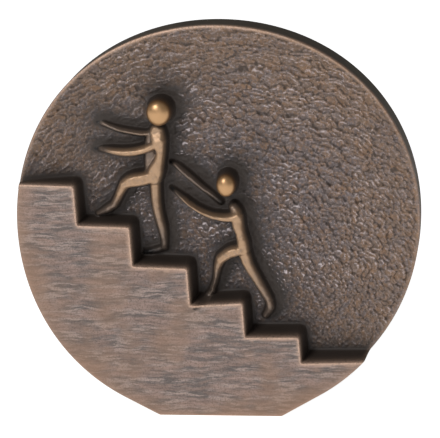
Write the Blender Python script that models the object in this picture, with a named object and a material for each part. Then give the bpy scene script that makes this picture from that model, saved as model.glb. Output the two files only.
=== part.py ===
import math

import bpy
import numpy as np
from mathutils import Vector
from mathutils.geometry import delaunay_2d_cdt

# A cast relief plaque: a disc with a flat foot, a hollowed ground above a stair left standing at
# the plate's full thickness, and two figures climbing it. Lengths are in millimetres: x to the
# right, z up from the foot, and heights h towards the viewer from the flat back.

# Disc
RADIUS = 59.8
CENTRE = (0.4, 58.0)
THICKNESS = 12.0
FOOT_WIDTH = 38.4
FOOT_MIDDLE = -0.35
FOOT_CORNER = 1.2
FRONT_EDGE = 0.7
BACK_EDGE = 0.8
# the outline is cut by hand, so the radius wanders: cosine and sine shares for 1, 2, 3 and 4 lobes
WANDER = ((-0.0025, 0.0097), (-0.0036, 0.0086), (0.0012, 0.0053), (-0.0054, 0.0006))

# Ground
FLOOR = 3.5
RIM_HIGH = 11.0
RIM_LOW = 4.6
RIM_LOW_ANGLE = -44.0
RIM_HIGH_ANGLE = 40.0
DISH_POWER = 5.0

# Stair, from the left: height of the first tread, where its riser is, runs, drops and falls
FIRST_TREAD = 71.4
FIRST_RISER = -41.3
RUNS = (16.0, 16.7, 16.0, 16.4)
DROPS = (11.9, 11.9, 11.4, 10.6, 8.1)
FALLS = (0.6, 0.6, 0.6, -0.9, -0.2, -0.5)
RISER_LEAN = 0.5
STAIR_CORNER = 0.7
WALL_DRAFT = 1.35
WALL_ROUND = 1.6
WALL_ROOT = 3.2

# Figures: heights from the sole of the standing leg, and where that sole is
LEADER_TALL = 47.0
LEADER_FOOT = (-17.3, 49.2)
PUSHER_TALL = 43.6
PUSHER_FOOT = (14.2, 30.0)
LIMB_FLARE = 0.7
HEAD_FLARE = 0.6
BLEND = 0.7

# Limbs as shares of the figure's height: across, up, half width of the crest; then the height of
# the crest as a share of the way from the floor to the plate's face
LEADER = {
    "body": ((0.013, 0.781, 0.044, 0.60), (0.023, 0.723, 0.044, 0.72), (0.033, 0.654, 0.027, 0.74),
             (0.020, 0.597, 0.032, 0.74), (-0.002, 0.539, 0.047, 0.75), (-0.012, 0.486, 0.041, 0.70)),
    "belly": ((-0.024, 0.763, 0.028, 0.45), (-0.028, 0.707, 0.035, 0.48), (-0.036, 0.635, 0.035, 0.44),
              (-0.037, 0.572, 0.035, 0.48), (-0.038, 0.529, 0.032, 0.52)),
    "near arm": ((0.039, 0.723, 0.028, 0.72), (-0.042, 0.682, 0.023, 0.70), (-0.109, 0.661, 0.023, 0.68),
                 (-0.170, 0.652, 0.023, 0.66), (-0.238, 0.654, 0.020, 0.62),
                 (-0.310, 0.664, 0.015, 0.50), (-0.390, 0.666, 0.006, 0.10)),
    "far arm": ((-0.041, 0.768, 0.013, 0.50), (-0.091, 0.768, 0.012, 0.50), (-0.167, 0.780, 0.011, 0.48),
                (-0.236, 0.796, 0.011, 0.46), (-0.293, 0.817, 0.009, 0.42), (-0.334, 0.832, 0.008, 0.32),
                (-0.366, 0.839, 0.005, 0.10)),
    "thigh": ((-0.018, 0.503, 0.037, 0.74), (-0.077, 0.486, 0.040, 0.76), (-0.153, 0.474, 0.039, 0.76),
              (-0.204, 0.450, 0.030, 0.68)),
    "shin": ((-0.204, 0.450, 0.030, 0.68), (-0.234, 0.399, 0.023, 0.62), (-0.256, 0.354, 0.020, 0.56),
             (-0.283, 0.308, 0.020, 0.48)),
    "raised foot": ((-0.281, 0.310, 0.019, 0.46), (-0.324, 0.281, 0.020, 0.45),
                    (-0.387, 0.248, 0.011, 0.32)),
    "leg": ((-0.012, 0.444, 0.029, 0.62), (-0.012, 0.391, 0.028, 0.60), (-0.011, 0.326, 0.027, 0.58),
            (-0.001, 0.247, 0.025, 0.55), (0.017, 0.160, 0.023, 0.50), (0.025, 0.084, 0.017, 0.42),
            (0.024, 0.025, 0.014, 0.28)),
    "foot": ((0.019, 0.023, 0.014, 0.24), (-0.037, 0.004, 0.015, 0.20), (-0.104, -0.012, 0.011, 0.14)),
}
PUSHER = {
    "body": ((-0.210, 0.753, 0.027, 0.50), (-0.188, 0.706, 0.037, 0.66), (-0.182, 0.645, 0.038, 0.70),
             (-0.168, 0.583, 0.031, 0.70), (-0.155, 0.521, 0.035, 0.71), (-0.151, 0.468, 0.039, 0.70)),
    "near arm": ((-0.180, 0.701, 0.031, 0.70), (-0.235, 0.690, 0.026, 0.70),
                 (-0.305, 0.693, 0.020, 0.69), (-0.389, 0.716, 0.016, 0.67),
                 (-0.481, 0.765, 0.013, 0.62), (-0.559, 0.825, 0.011, 0.52),
                 (-0.632, 0.879, 0.006, 0.12)),
    "far arm": ((-0.305, 0.786, 0.014, 0.20), (-0.353, 0.830, 0.014, 0.26), (-0.424, 0.893, 0.014, 0.38),
                (-0.488, 0.951, 0.016, 0.44), (-0.554, 1.011, 0.014, 0.42), (-0.597, 1.045, 0.010, 0.34),
                (-0.633, 1.057, 0.005, 0.12)),
    "thigh": ((-0.168, 0.466, 0.032, 0.70), (-0.209, 0.457, 0.036, 0.70), (-0.254, 0.440, 0.035, 0.69),
              (-0.308, 0.400, 0.031, 0.62)),
    "shin": ((-0.308, 0.400, 0.031, 0.62), (-0.332, 0.343, 0.022, 0.56), (-0.343, 0.291, 0.016, 0.50),
             (-0.356, 0.233, 0.013, 0.42), (-0.379, 0.172, 0.013, 0.30)),
    "foot": ((-0.376, 0.164, 0.015, 0.28), (-0.419, 0.117, 0.018, 0.26), (-0.482, 0.085, 0.012, 0.16)),
    "leg": ((-0.143, 0.426, 0.037, 0.64), (-0.125, 0.369, 0.033, 0.62), (-0.094, 0.303, 0.030, 0.58),
            (-0.059, 0.238, 0.027, 0.55), (-0.021, 0.166, 0.024, 0.52), (0.011, 0.101, 0.022, 0.50)),
    "trailing foot": ((0.010, 0.098, 0.020, 0.50), (0.015, 0.049, 0.022, 0.46),
                      (-0.018, -0.010, 0.016, 0.30)),
}
# Heads: across, up, half width, half height as shares, then how far the crown stands
LEADER_HEAD = (0.040, 0.918, 0.078, 0.084, 1.10)
PUSHER_HEAD = (-0.248, 0.926, 0.066, 0.080, 0.96)
EQUATOR = 0.68

# How finely the faces follow the form
OUTLINE_STEPS = 132
EDGE_STATION = 0.7
STATION = 1.6
JOINT_GRID = 0.8
NEAR_GRID = 1.4
GROUND_GRID = 3.4
PLATE_GRID = 9.0


def outline():
    """The disc's edge, anticlockwise: the wandering circle and the foot's corners, pulled tight."""
    points = []
    for i in range(OUTLINE_STEPS):
        a = 2 * math.pi * i / OUTLINE_STEPS
        r = RADIUS * (1 + sum(c * math.cos(n * a) + s * math.sin(n * a) for n, (c, s) in enumerate(WANDER, 1)))
        points.append((CENTRE[0] + r * math.cos(a), CENTRE[1] + r * math.sin(a)))
    points = [p for p in points if p[1] > FOOT_CORNER]
    for side in (-1, 1):
        for i in range(5):
            a = math.radians(270 + side * 70 * i / 4)
            points.append((FOOT_MIDDLE + side * (FOOT_WIDTH / 2 - FOOT_CORNER) + FOOT_CORNER * math.cos(a),
                           FOOT_CORNER * (1 + math.sin(a))))
    points.sort()
    hull = []
    for run in (points, points[::-1]):
        part = []
        for p in run:
            while len(part) > 1 and ((part[-1][0] - part[-2][0]) * (p[1] - part[-2][1])
                                     - (part[-1][1] - part[-2][1]) * (p[0] - part[-2][0])) <= 1e-9:
                part.pop()
            part.append(p)
        hull += part[:-1]
    # closer points where the stair's walls run out through the edge
    steps, loop = stair(), []
    for p, q in zip(hull, hull[1:] + hull[:1]):
        p, q = np.array(p), np.array(q)
        close = nearest(np.array([p, (p + q) / 2, q]), steps)[0].min() < 2.5 * WALL_DRAFT
        n = max(1, math.ceil(np.linalg.norm(q - p) / EDGE_STATION)) if close else 1
        loop += [p + (q - p) * i / n for i in range(n)]
    return np.array(loop)


def inset(loop, distance):
    """The same loop moved inwards."""
    before, after = np.roll(loop, 1, 0), np.roll(loop, -1, 0)
    a = (loop - before) / np.linalg.norm(loop - before, axis=1)[:, None]
    b = (after - loop) / np.linalg.norm(after - loop, axis=1)[:, None]
    normal = np.stack([-(a[:, 1] + b[:, 1]), a[:, 0] + b[:, 0]], 1)
    normal /= np.linalg.norm(normal, axis=1)[:, None]
    return loop + distance * normal


def stair():
    """The stair's edge on the plate's face, from beyond the left edge to beyond the right one."""
    x, z = FIRST_RISER, FIRST_TREAD - FALLS[0]
    points = [(x - 2 * RADIUS, FIRST_TREAD), (x - RUNS[0], FIRST_TREAD)]
    runs = RUNS + (2 * RADIUS,)
    for run, drop, fall in zip(runs, DROPS, FALLS[1:]):
        points.append((x, z))
        x, z = x + RISER_LEAN, z - drop
        points.append((x, z))
        slope = fall / RUNS[0]
        x, z = x + run - RISER_LEAN, z - slope * (run - RISER_LEAN)
    points.append((x, z))
    rounded = [points[0]]
    for p, q, r in zip(points, points[1:], points[2:]):
        p, q, r = (np.array(v) for v in (p, q, r))
        to, on = (p - q) / np.linalg.norm(p - q), (r - q) / np.linalg.norm(r - q)
        if abs(to @ on) > 0.9:
            rounded.append(tuple(q))
            continue
        for t in (0.0, 0.5, 1.0):
            rounded.append(tuple(q + STAIR_CORNER * ((1 - t) ** 2 * to + t ** 2 * on)))
    rounded.append(points[-1])
    return np.array(rounded)


def nearest(points, line):
    """For each point: distance to the line, where along it, and which side (positive on its left)."""
    best = np.full(len(points), 1e9)
    along = np.zeros(len(points))
    side = np.zeros(len(points))
    for i, (a, b) in enumerate(zip(line, line[1:])):
        ab = b - a
        t = np.clip(((points - a) @ ab) / (ab @ ab), 0, 1)
        gap = points - a - t[:, None] * ab
        d = np.hypot(gap[:, 0], gap[:, 1])
        cross = ab[0] * (points[:, 1] - a[1]) - ab[1] * (points[:, 0] - a[0])
        closer = d < best - 1e-9
        best[closer], along[closer], side[closer] = d[closer], (i + t)[closer], cross[closer]
    return best, along, np.where(side >= 0, 1.0, -1.0)


def upper(a, b, k):
    """The higher of two surfaces with the valley between them filled."""
    h = np.clip(0.5 + 0.5 * (a - b) / k, 0, 1)
    return b + (a - b) * h + k * h * (1 - h)


def lower(a, b, k):
    return -upper(-a, -b, k)


def smooth_line(stations, step):
    """A curve through the stations: across, up, half width and crest, about one step apart."""
    s = np.array(stations, float)
    s = np.vstack([2 * s[0] - s[1], s, 2 * s[-1] - s[-2]])
    out = []
    for a, b, c, d in zip(s, s[1:], s[2:], s[3:]):
        count = max(1, round(math.hypot(c[0] - b[0], c[1] - b[1]) / step))
        for i in range(count):
            t = i / count
            out.append(0.5 * (2 * b + (c - a) * t + (2 * a - 5 * b + 4 * c - d) * t ** 2
                              + (3 * b - a - 3 * c + d) * t ** 3))
    out.append(s[-2])
    return np.array(out)


def figure(limbs, tall, foot, step):
    """The figure's limbs in millimetres: across, up, half width, height of the crest."""
    out = []
    for stations in limbs.values():
        line = np.array(stations, float)
        line[:, :3] *= tall
        line[:, :2] += foot
        line[:, 3] = FLOOR + line[:, 3] * (THICKNESS - FLOOR)
        out.append(smooth_line(line, step))
    return out


def head(share, tall, foot):
    across, up, half_wide, half_high, crown = share
    return (np.array((foot[0] + across * tall, foot[1] + up * tall)), np.array((half_wide, half_high)) * tall,
            FLOOR + crown * (THICKNESS - FLOOR))


def ground(points, edge):
    """The dished ground: flat in the middle, rising to the rim, which dies away at the lower right."""
    v, w = points - np.array(CENTRE), edge - np.array(CENTRE)
    reach, rim = np.hypot(v[:, 0], v[:, 1]), np.hypot(w[:, 0], w[:, 1])
    bearing = np.arctan2(w[:, 1], w[:, 0])
    order = np.argsort(bearing)
    here = np.arctan2(v[:, 1], v[:, 0])
    share = np.clip(reach / np.interp(here, bearing[order], rim[order], period=2 * math.pi), 0, 1)
    degrees = np.degrees(here)
    degrees = np.where(degrees < -90, 180, degrees)
    t = np.clip((degrees - RIM_LOW_ANGLE) / (RIM_HIGH_ANGLE - RIM_LOW_ANGLE), 0, 1)
    height = RIM_LOW + (RIM_HIGH - RIM_LOW) * t * t * (3 - 2 * t)
    return FLOOR + (height - FLOOR) * share ** DISH_POWER


def limb_height(points, base, line):
    """A limb's own surface: full at the crest, down to the ground at the flare."""
    d, along, _ = nearest(points, line[:, :2])
    i = np.minimum(along.astype(int), len(line) - 2)
    t = (along - i)[:, None]
    here = line[i] * (1 - t) + line[i + 1] * t
    crest = here[:, 2]
    root = crest + LIMB_FLARE
    power = np.maximum(-1.682 / np.log(np.clip(crest / root, 0.05, 0.95)), 1.7)
    share = np.clip(1 - np.clip(d / root, 0, 1) ** power, 0, 1) ** 1.4
    return base + (here[:, 3] - base) * share, d, root


def head_height(points, base, centre, half, crown):
    v = (points - centre) / half
    u = np.hypot(v[:, 0], v[:, 1])
    equator = base + EQUATOR * (crown - base)
    dome = equator + (crown - equator) * np.sqrt(np.clip(1 - u * u, 0, 1))
    flare = 1 + HEAD_FLARE / half.mean()
    skirt = base + (equator - base) * np.clip((flare - u) / (flare - 1), 0, 1) ** 1.2
    return np.where(u < 1, dome, skirt), u, flare


def surface(points, edge, steps, limbs, heads):
    """Height of the front over the back at each point, before the edge is rounded."""
    base = ground(points, edge)
    d, _, side = nearest(points, steps)
    out = d * side
    slope = (THICKNESS - FLOOR) / WALL_DRAFT
    wall = lower(np.full(len(points), THICKNESS), THICKNESS - slope * out, WALL_ROUND)
    wall = np.where(out > 0, np.maximum(wall, 0), wall)
    height = upper(base, wall, WALL_ROOT)
    height = np.where(out > WALL_DRAFT * 1.6, base, height)
    height = np.where(out < -WALL_DRAFT, THICKNESS, height)
    raised = base.copy()
    for line in limbs:
        own, d, root = limb_height(points, base, line)
        raised = np.where(d < root, upper(raised, own, np.minimum(BLEND, 1.2 * np.abs(own - base) + 1e-6)), raised)
    for centre, half, crown in heads:
        own, _, _ = head_height(points, base, centre, half, crown)
        raised = np.maximum(raised, own)
    return np.maximum(height, raised)


def along_normals(line):
    d = np.gradient(line[:, :2], axis=0)
    d /= np.linalg.norm(d, axis=1)[:, None]
    return np.stack([-d[:, 1], d[:, 0]], 1)


def inside(points, loop):
    a, b = loop, np.roll(loop, -1, 0)
    hit = np.zeros(len(points), bool)
    for p, q in zip(a, b):
        cross = (p[1] > points[:, 1]) != (q[1] > points[:, 1])
        with np.errstate(divide="ignore", invalid="ignore"):
            x = (q[0] - p[0]) * (points[:, 1] - p[1]) / (q[1] - p[1]) + p[0]
        hit ^= cross & (points[:, 0] < x)
    return hit


def grid(step, edge):
    low, high = edge.min(0), edge.max(0)
    rows = np.arange(low[1], high[1], step * math.sqrt(0.75))
    points = [(x + (step / 2 if i % 2 else 0), z) for i, z in enumerate(rows)
              for x in np.arange(low[0], high[0], step)]
    return np.array(points)


def build():
    edge = outline()
    steps = stair()
    limbs = (figure(LEADER, LEADER_TALL, LEADER_FOOT, STATION) + figure(PUSHER, PUSHER_TALL, PUSHER_FOOT, STATION))
    heads = [head(LEADER_HEAD, LEADER_TALL, LEADER_FOOT), head(PUSHER_HEAD, PUSHER_TALL, PUSHER_FOOT)]

    kept = [tuple(p) for p in np.vstack([edge, inset(edge, 0.35 * FRONT_EDGE), inset(edge, FRONT_EDGE)])]
    count = len(edge)
    ring = [(i, (i + 1) % count) for i in range(count)]
    chains = [(a + k * count, b + k * count) for k in range(3) for a, b in ring]
    border = inset(edge, FRONT_EDGE)
    shut = np.vstack([border, border[:1]])

    def add(points, gap, wanted=None, chained=False, closed=False):
        """Keeps the points that stand clear of the earlier ones, and the lines between neighbours."""
        good = inside(points, border) & (nearest(points, shut)[0] > max(0.25, 0.5 * gap))
        if wanted is not None:
            good &= wanted
        index = []
        there = np.array(kept)
        for p, ok in zip(points, good):
            if ok and np.hypot(*(there - p).T).min() >= gap:
                index.append(len(kept))
                kept.append(tuple(p))
                there = np.vstack([there, p])
            else:
                index.append(None)
        if chained:
            pairs = list(zip(index, index[1:])) + ([(index[-1], index[0])] if closed else [])
            chains.extend((a, b) for a, b in pairs if a is not None and b is not None)

    def top(points):
        return surface(points, edge, steps, limbs, heads)

    # The stair's lines: its edge, the wall below it and the root
    fine = [steps[0]]
    for a, b in zip(steps, steps[1:]):
        n = max(1, round(np.linalg.norm(b - a) / STATION))
        fine += [a + (b - a) * (i + 1) / n for i in range(n)]
    fine = np.array(fine)
    normal = along_normals(fine)
    for out in (0.0, -0.45, 0.35, 0.75 * WALL_DRAFT, 1.15 * WALL_DRAFT, 1.6 * WALL_DRAFT):
        shifted = fine + out * normal
        d, _, side = nearest(shifted, steps)
        add(shifted, 0.3, np.abs(d * side - out) < 0.15, True)

    # Heads in rings, then each limb's crest, sides and root, wherever that limb is the surface
    for centre, half, crown in heads:
        flare = HEAD_FLARE / half.mean()
        for u, n in ((0.0, 1), (0.4, 6), (0.72, 12), (0.92, 18), (1.0, 18), (1 + 0.5 * flare, 18), (1 + flare, 18)):
            a = 2 * math.pi * (np.arange(n) + 0.5 * (n == 12)) / n
            ring_points = centre + u * half * np.stack([np.cos(a), np.sin(a)], 1)
            own = head_height(ring_points, ground(ring_points, edge), centre, half, crown)[0]
            add(ring_points, 0.25, top(ring_points) < own + 0.2, n > 6, True)
    for share in (0.0, 0.62, 1.0, 1.5, 2.0):
        for line in limbs:
            n = along_normals(line)
            reach = line[:, 2:3] * min(share, 1.0) + LIMB_FLARE * max(share - 1.0, 0.0)
            for s in ((-1, 1) if share else (1,)):
                points = line[:, :2] + s * reach * n
                own = limb_height(points, ground(points, edge), line)[0]
                add(points, 0.3, top(points) < own + (0.25 if share < 1.5 else 0.7), True)
    for line in limbs:
        for end, near_end in ((line[0], line[1]), (line[-1], line[-2])):
            way = math.atan2(end[1] - near_end[1], end[0] - near_end[0])
            for reach in (end[2], end[2] + 0.5 * LIMB_FLARE, end[2] + LIMB_FLARE):
                a = way + np.radians((-60.0, 0.0, 60.0))
                points = end[:2] + reach * np.stack([np.cos(a), np.sin(a)], 1)
                own = limb_height(points, ground(points, edge), line)[0]
                add(points, 0.35, top(points) < own + 0.25)

    # Where limbs run together, beside them, and over the ground and the plate
    for step, reach, gap in ((JOINT_GRID, -1, 0.5), (NEAR_GRID, 3.0, 0.7), (GROUND_GRID, 0, 1.6), (PLATE_GRID, 0, 5.0)):
        points = grid(step, edge)
        d, _, side = nearest(points, steps)
        out = d * side
        zones = np.zeros(len(points), int)
        close = np.full(len(points), 1e9)
        for line in limbs:
            _, far, root = limb_height(points, np.zeros(len(points)), line)
            zones += far < root
            close = np.minimum(close, far - root)
        balls = np.full(len(points), 1e9)
        for centre, half, crown in heads:
            _, u, flare = head_height(points, np.zeros(len(points)), centre, half, crown)
            balls = np.minimum(balls, (u - flare) * half.min())
        clear = (out > 1.6 * WALL_DRAFT + 0.5) & (balls > 0.3)
        if reach < 0:
            wanted = clear & (zones > 1)
        elif step == PLATE_GRID:
            wanted = out < -1.0
        else:
            wanted = clear & (close > 0.1) & ((close < reach) if reach else (close > 0.8))
        add(points, gap, wanted)

    points, _, faces, *_ = delaunay_2d_cdt([Vector(p) for p in kept], chains, [], 1, 1e-5)
    front = np.array([tuple(p) for p in points])
    height = surface(front, edge, steps, limbs, heads)
    room = nearest(front, np.vstack([edge, edge[:1]]))[0]
    short = np.clip(1 - room / FRONT_EDGE, 0, 1)
    height -= FRONT_EDGE * (1 - np.sqrt(1 - short ** 2))

    # The back is flat, with a rounded edge; the side joins it to the front
    verts = [(x, -h, z) for (x, z), h in zip(front, height)]
    faces = [tuple(f) for f in faces]
    start = {}
    for i, p in enumerate(front):
        d = np.hypot(*(edge - p).T)
        if d.min() < 1e-4:
            start[int(d.argmin())] = i
    border = [start[i] for i in range(count)]
    levels = [(0.0, BACK_EDGE), (0.3 * BACK_EDGE, 0.3 * BACK_EDGE), (BACK_EDGE, 0.0)]
    previous = border
    for move, level in levels:
        loop = inset(edge, move)
        current = list(range(len(verts), len(verts) + count))
        verts += [(x, -level, z) for x, z in loop]
        faces += [(previous[i], current[i], current[(i + 1) % count], previous[(i + 1) % count]) for i in range(count)]
        previous = current
    verts.append((CENTRE[0], 0.0, CENTRE[1]))
    faces += [(previous[i], len(verts) - 1, previous[(i + 1) % count]) for i in range(count)]

    spread = np.array(verts)
    middle = (spread.min(0) + spread.max(0)) / 2
    spread -= (middle[0], middle[1], spread[:, 2].min())
    mesh = bpy.data.meshes.new("relief_plaque")
    mesh.from_pydata((spread / 1000).tolist(), [], faces)
    mesh.validate()
    part = bpy.data.objects.new("relief_plaque", mesh)
    bpy.context.collection.objects.link(part)
    return part


def bronze():
    material = bpy.data.materials.new("patinated_bronze")
    material.use_nodes = True
    shader = material.node_tree.nodes["Principled BSDF"]
    shader.inputs["Base Color"].default_value = (0.17, 0.115, 0.085, 1)
    shader.inputs["Metallic"].default_value = 0.8
    shader.inputs["Roughness"].default_value = 0.45
    return material


for old in list(bpy.data.objects):
    bpy.data.objects.remove(old)
part = build()
part.data.materials.append(bronze())
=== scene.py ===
"""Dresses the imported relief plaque: a fine mesh of the casting in the solid's own form, hammer
marks by Geometry Nodes, a patinated bronze made of nodes, and a pale floor with soft light."""

import math

import bpy
import numpy as np
from mathutils import Matrix, Vector
from mathutils.geometry import delaunay_2d_cdt


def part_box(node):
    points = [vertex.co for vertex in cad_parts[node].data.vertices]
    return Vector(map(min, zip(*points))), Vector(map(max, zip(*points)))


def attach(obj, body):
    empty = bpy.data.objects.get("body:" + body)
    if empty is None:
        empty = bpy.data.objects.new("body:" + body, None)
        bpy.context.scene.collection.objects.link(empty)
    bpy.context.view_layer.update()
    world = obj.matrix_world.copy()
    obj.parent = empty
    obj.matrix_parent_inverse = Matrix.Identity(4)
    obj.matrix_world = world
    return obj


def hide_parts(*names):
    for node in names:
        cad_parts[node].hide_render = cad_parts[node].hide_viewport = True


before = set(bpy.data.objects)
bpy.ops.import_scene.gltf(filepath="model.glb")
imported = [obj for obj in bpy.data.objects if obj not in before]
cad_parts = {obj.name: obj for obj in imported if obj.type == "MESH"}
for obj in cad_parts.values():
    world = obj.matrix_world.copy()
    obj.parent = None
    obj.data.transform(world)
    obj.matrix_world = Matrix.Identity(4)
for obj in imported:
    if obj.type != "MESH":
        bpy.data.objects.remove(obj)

bl_info = {
    "name": "Relief plaque",
    "version": (1, 0, 0),
    "blender": (4, 5, 0),
    "location": "3D View > Sidebar > Plaque",
    "description": "Builds a cast bronze relief of two figures on a stair, with its stage",
    "category": "Object",
}

NODE = "relief_plaque"
HIGH = np.array(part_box(NODE)[1]) * 1000

# A cast relief plaque: a disc with a flat foot, a hollowed ground above a stair left standing at
# the plate's full thickness, and two figures climbing it. Lengths are in millimetres: x to the
# right, z up from the foot, and heights h towards the viewer from the flat back.

# Disc
RADIUS = 59.8
CENTRE = (0.4, 58.0)
THICKNESS = 12.0
FOOT_WIDTH = 38.4
FOOT_MIDDLE = -0.35
FOOT_CORNER = 1.2
FRONT_EDGE = 0.7
BACK_EDGE = 0.8
# the outline is cut by hand, so the radius wanders: cosine and sine shares for 1, 2, 3 and 4 lobes
WANDER = ((-0.0025, 0.0097), (-0.0036, 0.0086), (0.0012, 0.0053), (-0.0054, 0.0006))

# Ground
FLOOR = 3.5
RIM_HIGH = 11.0
RIM_LOW = 4.6
RIM_LOW_ANGLE = -44.0
RIM_HIGH_ANGLE = 40.0
DISH_POWER = 5.0

# Stair, from the left: height of the first tread, where its riser is, runs, drops and falls
FIRST_TREAD = 71.4
FIRST_RISER = -41.3
RUNS = (16.0, 16.7, 16.0, 16.4)
DROPS = (11.9, 11.9, 11.4, 10.6, 8.1)
FALLS = (0.6, 0.6, 0.6, -0.9, -0.2, -0.5)
RISER_LEAN = 0.5
STAIR_CORNER = 0.7
WALL_DRAFT = 1.35
WALL_ROUND = 1.6
WALL_ROOT = 3.2

# Figures: heights from the sole of the standing leg, and where that sole is
LEADER_TALL = 47.0
LEADER_FOOT = (-17.3, 49.2)
PUSHER_TALL = 43.6
PUSHER_FOOT = (14.2, 30.0)
LIMB_FLARE = 0.7
HEAD_FLARE = 0.6
BLEND = 0.7

# Limbs as shares of the figure's height: across, up, half width of the crest; then the height of
# the crest as a share of the way from the floor to the plate's face
LEADER = {
    "body": ((0.013, 0.781, 0.044, 0.60), (0.023, 0.723, 0.044, 0.72), (0.033, 0.654, 0.027, 0.74),
             (0.020, 0.597, 0.032, 0.74), (-0.002, 0.539, 0.047, 0.75), (-0.012, 0.486, 0.041, 0.70)),
    "belly": ((-0.024, 0.763, 0.028, 0.45), (-0.028, 0.707, 0.035, 0.48), (-0.036, 0.635, 0.035, 0.44),
              (-0.037, 0.572, 0.035, 0.48), (-0.038, 0.529, 0.032, 0.52)),
    "near arm": ((0.039, 0.723, 0.028, 0.72), (-0.042, 0.682, 0.023, 0.70), (-0.109, 0.661, 0.023, 0.68),
                 (-0.170, 0.652, 0.023, 0.66), (-0.238, 0.654, 0.020, 0.62),
                 (-0.310, 0.664, 0.015, 0.50), (-0.390, 0.666, 0.006, 0.10)),
    "far arm": ((-0.041, 0.768, 0.013, 0.50), (-0.091, 0.768, 0.012, 0.50), (-0.167, 0.780, 0.011, 0.48),
                (-0.236, 0.796, 0.011, 0.46), (-0.293, 0.817, 0.009, 0.42), (-0.334, 0.832, 0.008, 0.32),
                (-0.366, 0.839, 0.005, 0.10)),
    "thigh": ((-0.018, 0.503, 0.037, 0.74), (-0.077, 0.486, 0.040, 0.76), (-0.153, 0.474, 0.039, 0.76),
              (-0.204, 0.450, 0.030, 0.68)),
    "shin": ((-0.204, 0.450, 0.030, 0.68), (-0.234, 0.399, 0.023, 0.62), (-0.256, 0.354, 0.020, 0.56),
             (-0.283, 0.308, 0.020, 0.48)),
    "raised foot": ((-0.281, 0.310, 0.019, 0.46), (-0.324, 0.281, 0.020, 0.45),
                    (-0.387, 0.248, 0.011, 0.32)),
    "leg": ((-0.012, 0.444, 0.029, 0.62), (-0.012, 0.391, 0.028, 0.60), (-0.011, 0.326, 0.027, 0.58),
            (-0.001, 0.247, 0.025, 0.55), (0.017, 0.160, 0.023, 0.50), (0.025, 0.084, 0.017, 0.42),
            (0.024, 0.025, 0.014, 0.28)),
    "foot": ((0.019, 0.023, 0.014, 0.24), (-0.037, 0.004, 0.015, 0.20), (-0.104, -0.012, 0.011, 0.14)),
}
PUSHER = {
    "body": ((-0.210, 0.753, 0.027, 0.50), (-0.188, 0.706, 0.037, 0.66), (-0.182, 0.645, 0.038, 0.70),
             (-0.168, 0.583, 0.031, 0.70), (-0.155, 0.521, 0.035, 0.71), (-0.151, 0.468, 0.039, 0.70)),
    "near arm": ((-0.180, 0.701, 0.031, 0.70), (-0.235, 0.690, 0.026, 0.70),
                 (-0.305, 0.693, 0.020, 0.69), (-0.389, 0.716, 0.016, 0.67),
                 (-0.481, 0.765, 0.013, 0.62), (-0.559, 0.825, 0.011, 0.52),
                 (-0.632, 0.879, 0.006, 0.12)),
    "far arm": ((-0.305, 0.786, 0.014, 0.20), (-0.353, 0.830, 0.014, 0.26), (-0.424, 0.893, 0.014, 0.38),
                (-0.488, 0.951, 0.016, 0.44), (-0.554, 1.011, 0.014, 0.42), (-0.597, 1.045, 0.010, 0.34),
                (-0.633, 1.057, 0.005, 0.12)),
    "thigh": ((-0.168, 0.466, 0.032, 0.70), (-0.209, 0.457, 0.036, 0.70), (-0.254, 0.440, 0.035, 0.69),
              (-0.308, 0.400, 0.031, 0.62)),
    "shin": ((-0.308, 0.400, 0.031, 0.62), (-0.332, 0.343, 0.022, 0.56), (-0.343, 0.291, 0.016, 0.50),
             (-0.356, 0.233, 0.013, 0.42), (-0.379, 0.172, 0.013, 0.30)),
    "foot": ((-0.376, 0.164, 0.015, 0.28), (-0.419, 0.117, 0.018, 0.26), (-0.482, 0.085, 0.012, 0.16)),
    "leg": ((-0.143, 0.426, 0.037, 0.64), (-0.125, 0.369, 0.033, 0.62), (-0.094, 0.303, 0.030, 0.58),
            (-0.059, 0.238, 0.027, 0.55), (-0.021, 0.166, 0.024, 0.52), (0.011, 0.101, 0.022, 0.50)),
    "trailing foot": ((0.010, 0.098, 0.020, 0.50), (0.015, 0.049, 0.022, 0.46),
                      (-0.018, -0.010, 0.016, 0.30)),
}
# Heads: across, up, half width, half height as shares, then how far the crown stands
LEADER_HEAD = (0.040, 0.918, 0.078, 0.084, 1.10)
PUSHER_HEAD = (-0.248, 0.926, 0.066, 0.080, 0.96)
EQUATOR = 0.68

# How finely the visible mesh follows the form: steps in millimetres
OUTLINE_STEPS = 720
EDGE_STATION = 0.3
STATION = 0.42
FIGURE_GRID = 0.30
GROUND_GRID = 0.40
PLATE_GRID = 0.85
BACK_GRID = 2.2
CLOUD_SQUARE = 0.4
# lines of points: over the rounded front edge as shares of it, beside the stair's edge in
# millimetres, round a head as shares of its half width and then of its flare, and beside a limb's
# middle as shares of the crest up to 1 and of the flare past it
EDGE_LOOPS = (0.0, 0.3, 0.65, 1.0)
WALL_LINES = (0.0, -0.16, 0.14, -0.34, 0.28, -0.55, 0.45, 0.7, 0.95, 1.2, 1.5, 1.8, 2.15)
HEAD_RINGS = (0.0, 0.12, 0.24, 0.36, 0.48, 0.6, 0.7, 0.79, 0.87, 0.93, 0.97, 1.0)
HEAD_FLARE_RINGS = (0.2, 0.4, 0.65, 0.85, 1.0)
LIMB_LINES = (0.0, 0.4, 0.75, 1.0, 1.2, 1.4, 1.6, 1.8, 2.0)
WALL_GAP = 0.13
HEAD_GAP = 0.12
LIMB_GAP = 0.2
# a line of points is left out where another form covers it by more than this
COVERED = 0.15
# rows of points down the side wall as shares of its depth, and round the back edge in degrees
SIDE_ROWS = (0.2, 0.4, 0.6, 0.8, 1.0)
BACK_EDGE_ROWS = (30.0, 60.0, 90.0)

# Hammer marks: size, depth and lean in millimetres, the unevenness of the limbs, and the seed
MARK_SIZE = 1.9
MARK_DEPTH = 0.4
MARK_LEAN = 0.85
LIMB_UNEVEN = 0.9
MARK_SEED = 7
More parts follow.
